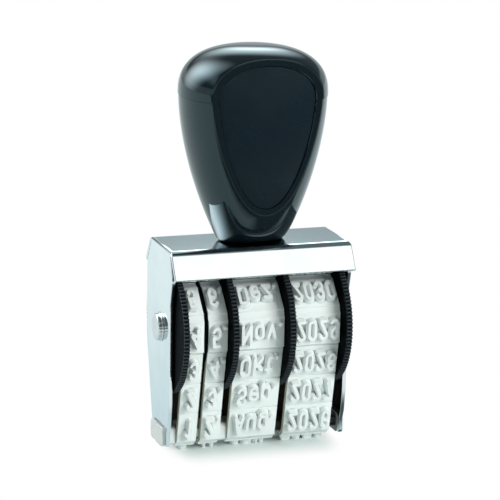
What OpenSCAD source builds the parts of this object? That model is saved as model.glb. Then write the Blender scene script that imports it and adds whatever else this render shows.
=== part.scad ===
// Hand date stamp: folded steel housing, four thumbwheels with printing belts, round handle.
// Millimetres, +Z up, X along the printed line, -Y is the side from which the belts are read.
// The type faces of the printing row rest on z = 0, midway under the housing.

/* [Housing] */
// Outside width over the two side plates
body_w = 36; // [35.6:0.2:38]
// Height of the side plates from foot to top
plate_h = 39; // [38:0.1:41]
// Depth of the flat top
top_d = 14.2; // [13.4:0.2:16]
// Depth over the lower edges of the two sloping aprons
apron_d = 20.2; // [19:0.2:22]
// Drop of the aprons below the top
apron_h = 4.9; // [4:0.1:5.6]
// Thickness of the sheet
sheet = 0.75; // [0.6:0.05:0.9]
// Outer radius of the folds between the top and the side plates
fold_r = 0.6; // [0.4:0.05:1.2]
// Outer radius of the folds between the top and the aprons
brow_r = 2; // [1.4:0.1:2.4]
// Reach of the side plates in front of the axle
plate_front = 6.3; // [5.6:0.1:7]
// Reach of the side plates behind the axle
plate_rear = 9.1; // [8.2:0.1:9.3]
// Depth of the feet of the side plates
foot_d = 10; // [9.6:0.1:10.8]

/* [Wheels] */
// Distance of the axle below the top
axle_drop = 16.2; // [15.8:0.1:16.6]
// Diameter over the serrated rims
wheel_d = 26; // [25:0.2:26.8]
// Number of teeth on a rim
tooth_n = 110; // [80:2:120]
// Depth of a tooth
tooth_t = 0.4; // [0.2:0.05:0.6]
// Width of a serrated rim
rim_w = 1.1; // [0.9:0.05:1.2]
// Diameter of the plain flange on the other side of a belt
flange_d = 18.6; // [17.6:0.2:20]
// Width of a plain flange
flange_w = 0.3; // [0.25:0.05:0.35]
// Diameter of the drum under a belt
drum_d = 15.6; // [14.8:0.1:16.2]
// Diameter of the axle
axle_d = 3; // [2.4:0.1:3.6]
// Diameter of the axle head
head_d = 5.2; // [4.6:0.1:6]

/* [Belts] */
// Width of the two day belts
day_w = 3.85; // [3.6:0.05:3.95]
// Width of the month and year belts
word_w = 9.7; // [9.4:0.05:9.85]
// Thickness of the belt under its pads
belt_t = 0.5; // [0.4:0.05:0.6]
// Height of a pad above the belt
pad_t = 0.7; // [0.5:0.05:0.9]
// Height of the raised type above a pad
type_t = 1.15; // [0.8:0.05:1.3]
// Height of the printed characters
type_h = 4; // [3.4:0.1:4.4]
// Width of one character
char_w = 1.9; // [1.5:0.05:2.1]

/* [Bridge] */
// Half depth of the flat under the bridge
flat_y = 2.4; // [2.2:0.1:2.8]
// Bend radius of a belt at the corners of the bridge
bend_r = 1.2; // [1.1:0.05:1.4]
// Depth of the bridge ends that pass through the plates
block_d = 8; // [7.4:0.1:8.2]
// Height of the bridge ends
block_h = 3.7; // [3.2:0.1:4.2]
// How far the bridge ends stand out of the plates
block_out = 0.6; // [0.3:0.1:0.9]

/* [Handle] */
// Largest diameter of the grip
grip_d = 28.6; // [26:0.1:31]
// Height of the handle above the housing
grip_h = 37.7; // [36:0.1:41]
// Height of the cap above its seam
cap_h = 9.3; // [8.4:0.1:10.4]
// Distance between the front and rear flats of the grip
flats_d = 18.4; // [17.4:0.1:19.4]
// Width of the land round a panel
land_w = 1.4; // [1:0.05:1.8]
// Depth of a panel face below its land
panel_in = 0.3; // [0.1:0.05:0.5]
// Thickness of a panel
panel_t = 0.7; // [0.5:0.1:1]
// Width of the neck where it stands on the housing
neck_w = 13.1; // [12.2:0.1:14]
// Depth of the neck where it stands on the housing
neck_d = 7.6; // [6.8:0.1:8.4]
// Diameter of the screw that holds the handle
screw_d = 3; // [2.5:0.1:3.4]

/* [Hidden] */

$fn = 96;
rows_n = 12;         // positions round one belt
side_gap = 0.08;     // belt to flange, and wheel to wheel
run_gap = 0.06;      // running clearance on the axle and round a drum
seat_gap = 0.03;     // bridge to the inside of a belt
fit_gap = 0.05;      // loose fit of hardware and inlays
notch_gap = 0.12;    // bridge ends in the plates
seam_gap = 0.3;      // side plate to apron
pad_gap = 0.3;       // pad to pad on a straight run
lap = 0.1;           // overlap inside one piece
over = 1;            // how far a cut runs past a face
far = 60;            // longer than any cut

foot_z = 1.6;
foot_r = 0.6;        // corner of a foot
foot_h = 3;          // straight part of a foot
top_z = foot_z + plate_h;
axle_z = top_z - axle_drop;
half_w = body_w / 2;
inner_x = half_w - sheet;
apron_z = top_z - apron_h;
apron_a = atan2(apron_h, (apron_d - top_d) / 2);
scoop_h = 7.5;       // the front edge of a plate draws back over this height under the apron
scoop_y = 1.4;
brow_h = 0.3;        // its start above the edge of the apron
taper_h = 9;         // below this height the front edge runs in to the foot
knee_h = 4.8;        // bend on that run
knee_y = 0.7;
rear_h = 3;          // straight rear edge: this far below axle and apron
ease_h = 1.2;        // soft start of the taper behind
ease_y = 0.15;

spacer_t = 0.3;
spacer_w = 1.7;      // width of a spacer ring
washer_t = 0.3;
washer_w = 0.25;     // washer past the axle head
head_t = 0.7;
head_bevel = 0.25;
tail_l = 0.4;        // end of the axle in its cap
spacer_r = axle_d / 2 + spacer_w;
washer_r = head_d / 2 + washer_w;

// Belt path: the middle of the belt base, round the drum and under the bridge
path_r = drum_d / 2 + run_gap + belt_t / 2;
path_z = type_t + pad_t + belt_t / 2;
bend_z = path_z + bend_r;
span_d = norm([flat_y, axle_z - bend_z]);
run_l = sqrt(pow(span_d, 2) - pow(path_r - bend_r, 2));
run_a = atan2(axle_z - bend_z, flat_y) + asin((path_r - bend_r) / span_d);
bend_l = bend_r * (180 - run_a) * PI / 180;
run_s = flat_y + bend_l;
drum_s = run_s + run_l;
half_loop = drum_s + path_r * run_a * PI / 180;
row_p = 2 * half_loop / rows_n;
pad_l = row_p - pad_gap;

// Stations along the axle, from the left plate
w1_x = -inner_x + spacer_t;
b1_x = w1_x + rim_w + side_gap;
f1_x = b1_x + day_w + side_gap;
w2_x = f1_x + flange_w + side_gap;
b2_x = w2_x + flange_w + side_gap;
r2_x = b2_x + day_w + side_gap;
w3_x = r2_x + rim_w + side_gap;
b3_x = w3_x + flange_w + side_gap;
r3_x = b3_x + word_w + side_gap;
w4_x = r3_x + rim_w + side_gap;
b4_x = w4_x + flange_w + side_gap;
r4_x = b4_x + word_w + side_gap;
end_x = r4_x + rim_w;

// Characters of a row: distance from the middle of the belt and width
char_gap = 0.4;
dot_w = 0.7;
char_p = char_w + char_gap;
function word(n, tail) = [for (i = [0:n - 1]) [(i - (n - 1) / 2) * char_p - tail / 2, char_w]];
function dot(n) = [[n * char_p / 2, dot_w]];
day_marks = word(1, 0);
unit_marks = concat(word(1, dot_w + char_gap), dot(1));
month_marks = concat(word(3, dot_w + char_gap), dot(3));
year_marks = word(4, 0);

// Bridge
bar_top = 4.4;
fin_top = 5.25;
block_drop = 0.25;   // bridge ends below the feet of the plates
block_r = 0.9;
fin_up = 0.1;        // fins between the belts above the feet
block_z = foot_z - block_drop;
fin_z = foot_z + fin_up;

// Handle
seam_z = top_z + grip_h - cap_h;
grip_r = grip_d / 2;
seam_lip = 0.12;     // the cap stands over the body by this much
body_r = grip_r - seam_lip;
body_h = seam_z - top_z;
cap_e = 2.55;        // fullness of the cap
side_e = 1.79;       // the grip to the left and right: fullness under the seam
side_q = 1;          // and run to the neck
deep_e = 1.1;        // the same to the front and rear, where it closes in sharply on the neck
deep_q = 0.315;
flat_h = flats_d / 2;
flat_lo = seam_z - body_h * pow(loss(flat_h, deep_q) / loss(neck_d / 2, deep_q), 1 / deep_e);
flat_hi = seam_z + cap_h * pow(1 - pow(flat_h / grip_r, cap_e), 1 / cap_e);
flat_mid = (flat_lo + flat_hi) / 2;
flat_half = (flat_hi - flat_lo) / 2;
flat_w = sqrt(pow(grip_r, 2) - pow(flat_h, 2));
pocket_t = panel_t + panel_in;
screw_l = 14;
screw_head_d = screw_d * 2;
screw_head_t = 1.4;
screw_washer_t = 0.5;
screw_washer_w = 0.8; // washer past the screw head

steel = [0.80, 0.85, 0.87];
black = [0.07, 0.09, 0.11];
rubber = [0.86, 0.89, 0.88];
cream = [0.90, 0.89, 0.83];

// Half width and half depth of the grip at height z
function loss(r, q) = 1 - pow(r / body_r, 1 / q);
function taper(z, neck, e, q) = body_r * pow(1 - loss(neck, q) * pow((seam_z - z) / body_h, e), q);
function cap_r(z) = grip_r * pow(max(0, 1 - pow((z - seam_z) / cap_h, cap_e)), 1 / cap_e);
function half_x(z) = z > seam_z ? cap_r(z) : taper(z, neck_w / 2, side_e, side_q);
function half_y(z) = z > seam_z ? cap_r(z) : taper(z, neck_d / 2, deep_e, deep_q);

function arc(c, r, a0, a1, n) = [for (i = [0:n]) let (a = a0 + (a1 - a0) * i / n)
    [c[0] + r * cos(a), c[1] + r * sin(a)]];

// A closed outline, mirrored from its left half so that no point is met twice
function closed(p) = concat(p, [for (i = [len(p) - 1:-1:0]) if (p[i][0] < 0) [-p[i][0], p[i][1]]]);

// Rounded rectangle of half width h between two heights
function rounded(h, z0, z1, r) = closed(concat(
    arc([-h + r, z0 + r], r, 270, 180, 6), arc([-h + r, z1 - r], r, 180, 90, 6)));

// Belt loop, o outside the middle of the base
function loop_pts(o) = closed(concat(
    arc([-flat_y, bend_z], bend_r + o, 270, 90 + run_a, 8),
    arc([0, axle_z], path_r + o, 90 + run_a, 90, 30)));

// Outward normal at the distance s from the bottom middle, up the front of the belt
function path_a(s) = s < flat_y ? 270
    : s < run_s ? 270 - (s - flat_y) / bend_r * 180 / PI
    : s < drum_s ? 90 + run_a
    : 90 + run_a - (s - drum_s) / path_r * 180 / PI;

// Point o outside the middle of the base at the distance s
function path_p(s, o) = s < 0 ? [-path_p(-s, o)[0], path_p(-s, o)[1]]
    : let (a = path_a(s), n = [cos(a), sin(a)])
    s < flat_y ? [-s, path_z - o]
    : s < run_s ? [-flat_y, bend_z] + (bend_r + o) * n
    : s < drum_s ? [-flat_y, bend_z] + (bend_r + o) * n + (s - run_s) * [n[1], -n[0]]
    : [0, axle_z] + (path_r + o) * n;

// Flat-faced block on the belt at row k, between two heights over the middle of the base
function row_block(k, l, o0, o1) = let (s = k * row_p, a = path_a(s),
    n = [cos(a), sin(a)], t = [n[1], -n[0]], c = path_p(s, 0))
    [c + o0 * n - l / 2 * t, c + o1 * n - l / 2 * t, c + o1 * n + l / 2 * t, c + o0 * n + l / 2 * t];

// Pad at row k: flat on top, following the belt underneath
function pad_pts(k) = let (b = row_block(k, pad_l, 0, belt_t / 2 + pad_t))
    concat([b[1], b[2]], [for (j = [4:-1:-4]) path_p(k * row_p + pad_l * j / 8, belt_t / 2 - lap)]);

function type_pts(k) = row_block(k, type_h, belt_t / 2 + pad_t - lap, belt_t / 2 + pad_t + type_t);

module along_x(x, w) {
    translate([x, 0, 0]) rotate([90, 0, 90]) linear_extrude(w) children();
}

module rod(x, w, r1, r2) {
    translate([x, 0, axle_z]) rotate([0, 90, 0]) cylinder(r1 = r1, r2 = r2, h = w);
}

module tube(x, w, r, hole) {
    difference() {
        rod(x, w, r, r);
        rod(x - over, w + 2 * over, hole, hole);
    }
}

// Section of the top with its two sloping aprons
module cover_2d() {
    c = [-top_d / 2 + brow_r * tan(apron_a / 2), top_z - brow_r];
    n = [-sin(apron_a), cos(apron_a)];
    drop = (c[1] + brow_r * n[1] - apron_z) / sin(apron_a);
    tip = c + brow_r * n + drop * [-cos(apron_a), -sin(apron_a)];
    polygon(closed(concat(
        arc(c, brow_r - sheet, 90, 90 + apron_a, 8), [tip - sheet * n, tip],
        arc(c, brow_r, 90 + apron_a, 90, 12))));
}

// Outline of a side plate: drawn back in front for the fingers, tapering to its foot
module plate_2d() {
    inset = (sheet + seam_gap) / sin(apron_a);
    under = [for (z = [top_z - sheet / 2, apron_z]) top_d / 2 + (top_z - z) / tan(apron_a) - inset];
    half = foot_d / 2;
    polygon(concat(
        [[-under[0], top_z - sheet / 2],
         [-plate_front - scoop_y, apron_z + brow_h],
         [-plate_front - scoop_y, apron_z - scoop_h / 6],
         [-plate_front - scoop_y * 0.75, apron_z - scoop_h / 3],
         [-plate_front - scoop_y * 0.25, apron_z - scoop_h * 2 / 3],
         [-plate_front, apron_z - scoop_h],
         [-plate_front, foot_z + taper_h],
         [-half - knee_y, foot_z + knee_h],
         [-half, foot_z + foot_h]],
        arc([-half + foot_r, foot_z + foot_r], foot_r, 180, 270, 4),
        arc([half - foot_r, foot_z + foot_r], foot_r, 270, 360, 4),
        [[half, foot_z + foot_h],
         [plate_rear - ease_y, axle_z - rear_h - ease_h],
         [plate_rear, axle_z - rear_h],
         [plate_rear, apron_z - rear_h],
         [under[1], apron_z],
         [under[0], top_z - sheet / 2]]));
}

module block_2d(gap) {
    polygon(rounded(block_d / 2 + gap, block_z - gap, block_z + block_h + gap, block_r));
}

module housing() {
    color(steel) difference() {
        union() {
            along_x(-half_w, body_w) cover_2d();
            for (x = [-half_w, inner_x]) along_x(x, sheet) plate_2d();
        }
        rod(-far, 2 * far, axle_d / 2 + fit_gap, axle_d / 2 + fit_gap);
        along_x(-far, 2 * far) union() {
            block_2d(notch_gap);
            translate([-block_d / 2 - notch_gap, -far])
                square([block_d + 2 * notch_gap, far + block_z + block_r]);
        }
        cylinder(r = screw_d / 2 + fit_gap, h = far);
        for (side = [0, 1]) mirror([side, 0, 0]) translate([half_w - fold_r, far / 2, top_z - fold_r])
            rotate([90, 0, 0]) linear_extrude(far) difference() {
                square(fold_r + over);
                circle(r = fold_r);
            }
    }
}

module platen_bridge() {
    bar_r = bend_r - belt_t / 2 - seat_gap;
    color(cream) union() {
        along_x(-inner_x, 2 * inner_x) polygon(closed(concat(
            [[-flat_y - bar_r, bar_top]], arc([-flat_y, bend_z], bar_r, 180, 270, 6))));
        for (fin = [[-inner_x, b1_x - side_gap], [r2_x, b3_x - side_gap]])
            along_x(fin[0], fin[1] - fin[0]) polygon(rounded(block_d / 2, fin_z, fin_top, block_r));
        for (x = [-half_w - block_out, inner_x - lap]) along_x(x, sheet + block_out + lap) block_2d(0);
    }
}

module axle() {
    x0 = -half_w - washer_t - head_t;
    color(steel) union() {
        rod(x0 + lap, half_w + washer_t + tail_l - x0 - lap, axle_d / 2, axle_d / 2);
        rod(x0 + head_bevel, head_t - head_bevel, head_d / 2, head_d / 2);
        rod(x0, head_bevel, head_d / 2 - head_bevel, head_d / 2);
    }
}

module axle_washer_left() {
    color(steel) tube(-half_w - washer_t, washer_t, washer_r, axle_d / 2 + fit_gap);
}

module axle_washer_right() {
    color(steel) tube(half_w, washer_t, washer_r, axle_d / 2 + fit_gap);
}

module axle_cap() {
    x0 = half_w + washer_t;
    color(steel) difference() {
        union() {
            rod(x0, head_t - head_bevel, head_d / 2, head_d / 2);
            rod(x0 + head_t - head_bevel, head_bevel, head_d / 2, head_d / 2 - head_bevel);
        }
        rod(x0 - over, over + tail_l + fit_gap, axle_d / 2 + fit_gap, axle_d / 2 + fit_gap);
    }
}

module spacer_left() {
    color(steel) tube(-inner_x, spacer_t - side_gap, spacer_r, axle_d / 2 + fit_gap);
}

module spacer_right() {
    color(steel) tube(end_x + side_gap, inner_x - end_x - side_gap, spacer_r, axle_d / 2 + fit_gap);
}

// Thumbwheel: drum between a serrated rim and a plain flange
module wheel(rim_x, flange_x) {
    x0 = min(rim_x, flange_x);
    x1 = max(rim_x + rim_w, flange_x + flange_w);
    color(black) difference() {
        union() {
            along_x(rim_x, rim_w) translate([0, axle_z]) polygon([for (i = [0:2 * tooth_n - 1])
                let (r = wheel_d / 2 - (i % 2) * tooth_t, a = 180 * i / tooth_n) [r * cos(a), r * sin(a)]]);
            rod(x0, x1 - x0, drum_d / 2, drum_d / 2);
            rod(flange_x, flange_w, flange_d / 2, flange_d / 2);
        }
        rod(x0 - over, x1 - x0 + 2 * over, axle_d / 2 + run_gap, axle_d / 2 + run_gap);
    }
}

module wheel_day_tens() { wheel(w1_x, f1_x); }
module wheel_day_units() { wheel(r2_x, w2_x); }
module wheel_month() { wheel(r3_x, w3_x); }
module wheel_year() { wheel(r4_x, w4_x); }

// Printing belt: base loop, a pad for each row and a raised block for each character
module belt(x, w, marks) {
    color(rubber) union() {
        along_x(x, w) union() {
            difference() {
                polygon(loop_pts(belt_t / 2));
                polygon(loop_pts(-belt_t / 2));
            }
            for (k = [0:rows_n / 2]) polygon(pad_pts(k));
            for (k = [1:rows_n / 2 - 1]) mirror([1, 0]) polygon(pad_pts(k));
        }
        for (m = marks) along_x(x + w / 2 + m[0] - m[1] / 2, m[1]) union() {
            for (k = [0:rows_n / 2]) polygon(type_pts(k));
            for (k = [1:rows_n / 2 - 1]) mirror([1, 0]) polygon(type_pts(k));
        }
    }
}

module belt_day_tens() { belt(b1_x, day_w, day_marks); }
module belt_day_units() { belt(b2_x, day_w, unit_marks); }
module belt_month() { belt(b3_x, word_w, month_marks); }
module belt_year() { belt(b4_x, word_w, year_marks); }

// Outline of a panel, the edge of the flat drawn in by its land
panel_n = 36;
function panel_pts(inset) = closed(concat([[0, flat_lo + inset]],
    [for (i = [1:panel_n - 1]) let (c = -cos(180 * i / panel_n), z = flat_mid + flat_half * c)
        [-half_x(z) * sqrt(1 - pow(flat_h / half_y(z), 2)) * (1 - inset / flat_w),
         flat_mid + (flat_half - inset) * c]],
    [[0, flat_hi - inset]]));

module panel_solid(inset, t) {
    translate([0, pocket_t - flat_h, 0]) rotate([90, 0, 0]) linear_extrude(t) polygon(panel_pts(inset));
}

module grip_cuts() {
    for (side = [0, 1]) mirror([0, side, 0]) {
        translate([-far / 2, -flat_h - far, 0]) cube([far, far, 2 * far]);
        panel_solid(land_w, pocket_t + over);
    }
}

module handle_body() {
    n = 24;
    color(black) difference() {
        hull() for (i = [0:n]) let (z = top_z + (body_h - lap) * (1 - cos(90 * i / n)))
            translate([0, 0, z]) scale([half_x(z), half_y(z), 1]) cylinder(r = 1, h = lap, $fn = 72);
        grip_cuts();
        translate([0, 0, top_z - over]) cylinder(r = screw_d / 2 + fit_gap, h = over + screw_l + fit_gap);
    }
}

module handle_cap() {
    color(black) difference() {
        rotate_extrude() polygon(concat([[0, seam_z]], [for (i = [0:24])
            [grip_r * pow(cos(90 * i / 24), 2 / cap_e), seam_z + cap_h * pow(sin(90 * i / 24), 2 / cap_e)]]));
        grip_cuts();
    }
}

module front_panel() { color(black) panel_solid(land_w + fit_gap, panel_t); }
module rear_panel() { color(black) mirror([0, 1, 0]) panel_solid(land_w + fit_gap, panel_t); }

module handle_screw() {
    z0 = top_z - sheet - screw_washer_t;
    color(steel) union() {
        translate([0, 0, z0 - screw_head_t]) cylinder(r = screw_head_d / 2, h = screw_head_t);
        translate([0, 0, z0 - lap]) cylinder(r = screw_d / 2, h = top_z + screw_l - z0 + lap);
    }
}

module screw_washer() {
    z0 = top_z - sheet - screw_washer_t;
    color(steel) difference() {
        translate([0, 0, z0]) cylinder(r = screw_head_d / 2 + screw_washer_w, h = screw_washer_t);
        translate([0, 0, z0 - over]) cylinder(r = screw_d / 2 + fit_gap, h = screw_washer_t + 2 * over);
    }
}

housing();
platen_bridge();
axle();
axle_washer_left();
axle_washer_right();
axle_cap();
spacer_left();
spacer_right();
wheel_day_tens();
wheel_day_units();
wheel_month();
wheel_year();
belt_day_tens();
belt_day_units();
belt_month();
belt_year();
handle_body();
handle_cap();
front_panel();
rear_panel();
handle_screw();
screw_washer();
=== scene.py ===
"""Looks of a hand date stamp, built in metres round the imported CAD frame.

All shapes are worked out in millimetres as whole numpy arrays and put into meshes at the end.
"""

import logging
import math
from dataclasses import dataclass, field
from enum import Enum
from typing import Any, Sequence

import bmesh
import bpy
import numpy as np
from bpy.types import ID, Material, Mesh, NodeSocket, NodeTree, Object
from mathutils import Matrix, Vector


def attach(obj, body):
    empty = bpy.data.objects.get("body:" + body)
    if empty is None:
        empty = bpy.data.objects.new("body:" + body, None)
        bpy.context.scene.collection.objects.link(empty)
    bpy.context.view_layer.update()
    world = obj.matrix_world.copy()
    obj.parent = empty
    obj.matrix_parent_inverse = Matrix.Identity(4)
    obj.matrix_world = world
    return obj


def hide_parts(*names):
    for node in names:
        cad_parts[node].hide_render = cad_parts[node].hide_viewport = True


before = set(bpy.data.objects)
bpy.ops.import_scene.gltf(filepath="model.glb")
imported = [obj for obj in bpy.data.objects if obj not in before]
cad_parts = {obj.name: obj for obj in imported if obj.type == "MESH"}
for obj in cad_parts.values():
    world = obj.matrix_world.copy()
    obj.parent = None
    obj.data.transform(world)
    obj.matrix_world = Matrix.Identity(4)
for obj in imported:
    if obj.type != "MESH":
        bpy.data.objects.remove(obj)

LOG = logging.getLogger("date_stamp")
MM = 0.001
MERGE_MM = 0.002
FRAME_BODY = "frame"
# Relief attribute on a belt's open ground; it is 0 in hollows, which get painted shade, 1 on type faces and
# -1 on the back, which gets painted shade too
GROUND_TAG = 0.35
# Settings of nodes that mix colours, that ramp softly and that read the relief attribute
COLOUR = {"data_type": "RGBA"}
SOFT = {"interpolation_type": "SMOOTHSTEP"}
RELIEF = {"attribute_name": "relief", "out": "Fac"}

Array = np.ndarray
Pair = tuple[float, float]
Triple = tuple[float, float, float]


def linear(colour: str) -> tuple[float, float, float, float]:
    """Turn an sRGB hex colour into linear RGBA.

    Args:
        colour: six hex digits with a leading hash sign.

    Returns:
        Linear red, green, blue and an alpha of 1.
    """
    c = np.array([int(colour[i:i + 2], 16) for i in (1, 3, 5)]) / 255.0
    low = c / 12.92
    high = ((c + 0.055) / 1.055) ** 2.4
    r, g, b = np.where(c <= 0.04045, low, high)
    return float(r), float(g), float(b), 1.0


def per_mm(size: float) -> float:
    """Texture scale on Object coordinates for a feature of this many millimetres."""
    return 1.0 / (size * MM)


def add(tree: NodeTree, kind: str, inputs: dict[Any, Any] | None = None, out: int | str = 0,
        **settings: Any) -> NodeSocket | None:
    """Add one node with its settings and inputs.

    Args:
        tree: the node tree.
        kind: class name without its ShaderNode prefix.
        inputs: socket name or index to a value, a hex colour, or a socket that is linked.
        out: index or name of the output that is wanted.
        settings: attributes of the node.

    Returns:
        That output, where the node has any.
    """
    node = tree.nodes.new("ShaderNode" + kind)
    for name, value in settings.items():
        setattr(node, name, value)
    for key, value in (inputs or {}).items():
        if isinstance(value, NodeSocket):
            tree.links.new(value, node.inputs[key])
        else:
            node.inputs[key].default_value = linear(value) if isinstance(value, str) else value
    return node.outputs[out] if node.outputs else None


def layered(tree: NodeTree, tone: NodeSocket | str,
            *layers: tuple[NodeSocket, float, float, NodeSocket | str], **ramp: Any) -> NodeSocket:
    """Lay tones over one another, each by a value that goes from none of it to all of it.

    Args:
        tree: the node tree.
        tone: the lowest tone, a socket or a hex colour.
        layers: for each tone above it the value, its readings for none and for all, and the tone.
        ramp: settings of the ramps between the readings.

    Returns:
        The colour output.
    """
    for value, none, full, over in layers:
        share = add(tree, "MapRange", {"Value": value, 1: none, 2: full}, **ramp)
        tone = add(tree, "Mix", {0: share, 6: tone, 7: over}, 2, **COLOUR)
    return tone


def blank_material(name: str) -> tuple[Material, NodeTree]:
    """Make a node material with nothing in it.

    Args:
        name: the material's name.

    Returns:
        The material and its node tree.
    """
    material = bpy.data.materials.new(name)
    material.use_nodes = True
    material.node_tree.nodes.clear()
    return material, material.node_tree


@dataclass(frozen=True)
class Finish:
    """A surface: colour that drifts between two tones, uneven gloss and a fine grain."""

    name: str
    tone: str
    tone_alt: str
    roughness: Pair
    patch_mm: float
    grain_mm: float
    grain_depth_mm: float
    metallic: float = 0.0
    ior: float = 1.5
    sheen: str = "#FFFFFF"
    worn_mm: float = 0.0
    tone_ramp: Pair = (0.32, 0.68)
    gloss_ramp: Pair = (0.3, 0.7)

    def colour(self, tree: NodeTree, patches: NodeSocket, where: NodeSocket) -> NodeSocket:
        """Colour socket: the two tones mixed by broad patches.

        Args:
            tree: the material's node tree.
            patches: noise from 0 to 1.
            where: Object coordinates.

        Returns:
            The colour output.
        """
        return layered(tree, self.tone, (patches, *self.tone_ramp, self.tone_alt))

    def shine(self, tree: NodeTree) -> float | NodeSocket:
        """Share of the mirror light, 0.5 for what the index of refraction gives."""
        return 0.5

    def material(self) -> Material:
        """Build the node material of this finish.

        Returns:
            The new material.
        """
        material, tree = blank_material(self.name)
        where = add(tree, "TexCoord", out="Object")
        patches, grain = (
            add(tree, "TexNoise", {"Vector": where, "Scale": per_mm(size), "Detail": detail})
            for size, detail in ((self.patch_mm, 4.0), (self.grain_mm, 3.0)))
        (low, high), (smooth_end, rough_end) = self.gloss_ramp, self.roughness
        gloss = add(tree, "MapRange", {"Value": patches, 1: low, 2: high, 3: smooth_end, 4: rough_end})
        bumps = {"Height": grain, "Strength": 1.0, "Distance": self.grain_depth_mm * MM}
        if self.worn_mm:
            bumps["Normal"] = add(tree, "Bevel", {"Radius": self.worn_mm * MM}, samples=8)
        shader = add(tree, "BsdfPrincipled", {
            "Base Color": self.colour(tree, patches, where), "Roughness": gloss,
            "Normal": add(tree, "Bump", bumps), "Metallic": self.metallic, "IOR": self.ior,
            "Specular Tint": self.sheen, "Specular IOR Level": self.shine(tree)})
        add(tree, "OutputMaterial", {"Surface": shader})
        return material


@dataclass(frozen=True)
class RubberFinish(Finish):
    """Moulded rubber whose tone follows the relief: painted shade inside the loop and in the hollows, cream
    flanks, pale type.
    """

    ground: str = "#EBF1EF"
    hollow: str = "#95A49D"
    flank: str = "#E4DCC0"
    # Painted shade: the inside of the loop is coloured dark
    inside: str = "#4A453A"
    face_ramp: Pair = (GROUND_TAG, 0.9)
    hollow_ramp: Pair = (GROUND_TAG, 0.0)
    flank_ramp: Pair = (-0.1, -0.3)
    inside_ramp: Pair = (-0.5, -0.95)

    def colour(self, tree: NodeTree, patches: NodeSocket, where: NodeSocket) -> NodeSocket:
        """Colour socket: ground, then the two tones on type faces, painted shade in the hollows, flank, and
        painted shade inside, by the relief.

        Args:
            tree: the material's node tree.
            patches: noise from 0 to 1.
            where: Object coordinates.

        Returns:
            The colour output.
        """
        relief, face = add(tree, "Attribute", **RELIEF), super().colour(tree, patches, where)
        return layered(tree, self.ground, (relief, *self.face_ramp, face),
                       (relief, *self.hollow_ramp, self.hollow), (relief, *self.flank_ramp, self.flank),
                       (relief, *self.inside_ramp, self.inside))


@dataclass(frozen=True)
class RimFinish(Finish):
    """Moulded plastic with a painted highlight, a paler colour, on the tooth crests, and painted shade on the
    sides: darker, with hardly any mirror light.
    """

    crest: str = "#40484C"
    # Painted shade: the sides are coloured this dark, and side_shine keeps mirror light off them
    side: str = "#060A0C"
    side_shine: float = 0.03

    def colour(self, tree: NodeTree, patches: NodeSocket, where: NodeSocket) -> NodeSocket:
        """Colour socket: the two tones, then painted shade on the sides at a relief of -1 and a painted
        highlight on the crests at 1.
        """
        relief, body = add(tree, "Attribute", **RELIEF), super().colour(tree, patches, where)
        return layered(tree, body, (relief, 0.0, -1.0, self.side), (relief, 0.0, 1.0, self.crest))

    def shine(self, tree: NodeTree) -> float | NodeSocket:
        """Share of the mirror light: hardly any on the sides."""
        relief, full = add(tree, "Attribute", **RELIEF), super().shine(tree)
        return add(tree, "MapRange", {"Value": relief, 1: -1.0, 2: 0.0, 3: self.side_shine, 4: full})


@dataclass(frozen=True)
class InkedFinish(Finish):
    """Moulded plastic with painted black shade between two planes across the stamp."""

    ink: str = "#0D0F10"
    span_mm: Pair = (-1.0, 17.4)
    fade_mm: Pair = (0.6, 0.3)

    def colour(self, tree: NodeTree, patches: NodeSocket, where: NodeSocket) -> NodeSocket:
        """Colour socket: the two tones, then painted black shade from one plane of x to the other.

        Args:
            tree: the material's node tree.
            patches: noise from 0 to 1.
            where: Object coordinates.

        Returns:
            The colour output.
        """
        x = add(tree, "SeparateXYZ", {0: where}, "X")
        low, high, rise, fall = (size * MM for size in self.span_mm + self.fade_mm)
        begins = add(tree, "MapRange", {"Value": x, 1: low, 2: low + rise})
        # Painted shade: black between the two planes, fading in and out at each
        shade_share = add(tree, "MapRange", {"Value": x, 1: high - fall, 2: high, 3: begins, 4: 0.0})
        return layered(tree, super().colour(tree, patches, where), (shade_share, 0.0, 1.0, self.ink))


class Finishes:
    """The finishes of the stamp, each named for its real material."""

    # Nickel-chrome plate on rolled steel: bright mirror, faint waviness from the rolling
    PLATED = Finish("nickel_chrome_plated_steel", "#E0E5E7", "#D6DCDF", (0.04, 0.07), 7.0, 1.6, 0.0008,
                    metallic=1.0, worn_mm=0.3)
    # Turned axle with the same plate, a little duller
    AXLE = Finish("plated_turned_steel", "#D8DADA", "#C8CBCC", (0.05, 0.09), 2.0, 0.3, 0.0008, metallic=1.0)
    # Zinc plate on the screw and its washer: grey and matt
    ZINC = Finish("zinc_plated_steel", "#B9BCBD", "#A9ADAF", (0.3, 0.42), 1.5, 0.25, 0.003, metallic=1.0)
    # Acetal bridge: white, semi-matt from the mould, with painted black shade under the two wide belts
    ACETAL = InkedFinish("moulded_acetal", "#EFF1EF", "#E4E8E6", (0.36, 0.5), 3.0, 0.2, 0.004, ior=1.48)
    # Nylon thumbwheels: blue-black, satin
    NYLON = RimFinish("black_moulded_nylon", "#10191E", "#0B1216", (0.5, 0.6), 2.5, 0.2, 0.004, ior=1.3)
    # ABS from a polished mould: deep gloss with slight flow
    ABS = Finish("polished_black_abs", "#121B20", "#0F171B", (0.04, 0.07), 9.0, 2.2, 0.0006, ior=1.58,
                 sheen="#C8EBF4")
    # ABS from a spark-eroded mould, drawn coarser than the real 0.03 mm grain so that it shows
    SATIN_ABS = Finish("satin_black_abs", "#132028", "#111D24", (0.26, 0.32), 5.0, 0.16, 0.003, ior=1.27)
    # Vulcanised rubber, matt, white, with painted green-grey shade in the hollows
    RUBBER = RubberFinish("moulded_white_rubber", "#F0F4F3", "#E8EEED", (0.55, 0.72), 1.8, 0.14, 0.006,
                          ior=1.48)


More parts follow.
